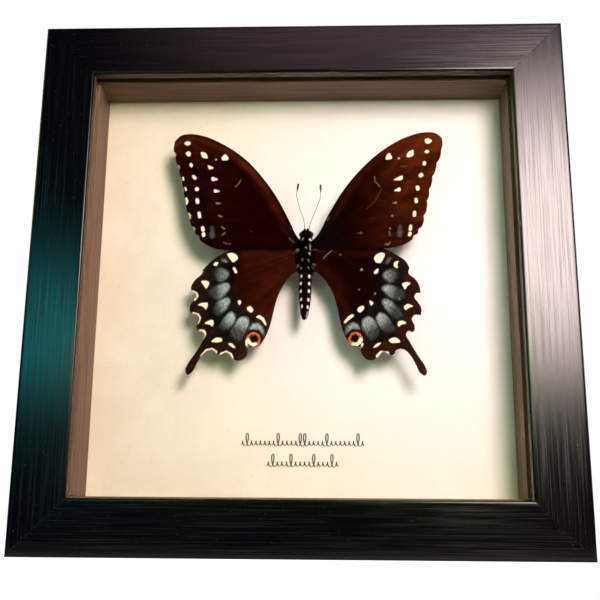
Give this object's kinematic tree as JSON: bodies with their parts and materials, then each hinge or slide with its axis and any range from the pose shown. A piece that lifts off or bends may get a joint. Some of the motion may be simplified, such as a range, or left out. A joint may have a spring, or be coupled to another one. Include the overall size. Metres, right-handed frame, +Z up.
{
  "type": "framed butterfly specimen",
  "caption": "Square black shadow-box frame with glass over a cream backing and a spread swallowtail butterfly floating inside it; stands on its edge or hangs on a wall.",
  "frame": {"origin": "on the surface it stands on, under the middle of the object's bounding box", "axes": "+Z up the frame, +X to the viewer's right, the glass faces -Y and the wall side is +Y"},
  "size_m": [0.178, 0.0374, 0.178],
  "materials": {
    "black_wood": "open-grain black lacquer, satin",
    "spacer_black": "smooth black lacquer, semi-gloss",
    "picture_glass": "clear, polished",
    "parchment": "mottled cream parchment, matt",
    "foam_board": "matt",
    "fibreboard": "raw hardboard, matt",
    "tab_steel": "dull",
    "hanger_brass": "plated, satin",
    "wing_scales": "matt, scaly, with cream, blue-grey and orange marks",
    "body_fur": "furry, matt",
    "antenna_horn": "satin",
    "pad_foam": "matt"
  },
  "bodies": {
    "root": {"rail_top": "black_wood", "rail_bottom": "black_wood", "rail_left": "black_wood", "rail_right": "black_wood", "glass_pane": "picture_glass", "spacer_top": "spacer_black", "spacer_bottom": "spacer_black", "spacer_left": "spacer_black", "spacer_right": "spacer_black", "backing_paper": "parchment", "mount_board": "foam_board", "back_board": "fibreboard", "tab_1": "tab_steel", "tab_2": "tab_steel", "tab_3": "tab_steel", "tab_4": "tab_steel", "tab_5": "tab_steel", "tab_6": "tab_steel", "tab_7": "tab_steel", "tab_8": "tab_steel", "sawtooth_hanger": "hanger_brass", "hanger_nail_left": "hanger_brass", "hanger_nail_right": "hanger_brass", "butterfly_body": "body_fur", "forewing_left": "wing_scales", "forewing_right": "wing_scales", "hindwing_left": "wing_scales", "hindwing_right": "wing_scales", "antenna_left": "antenna_horn", "antenna_right": "antenna_horn", "mounting_pad": "pad_foam"}
  },
  "joints": []
}
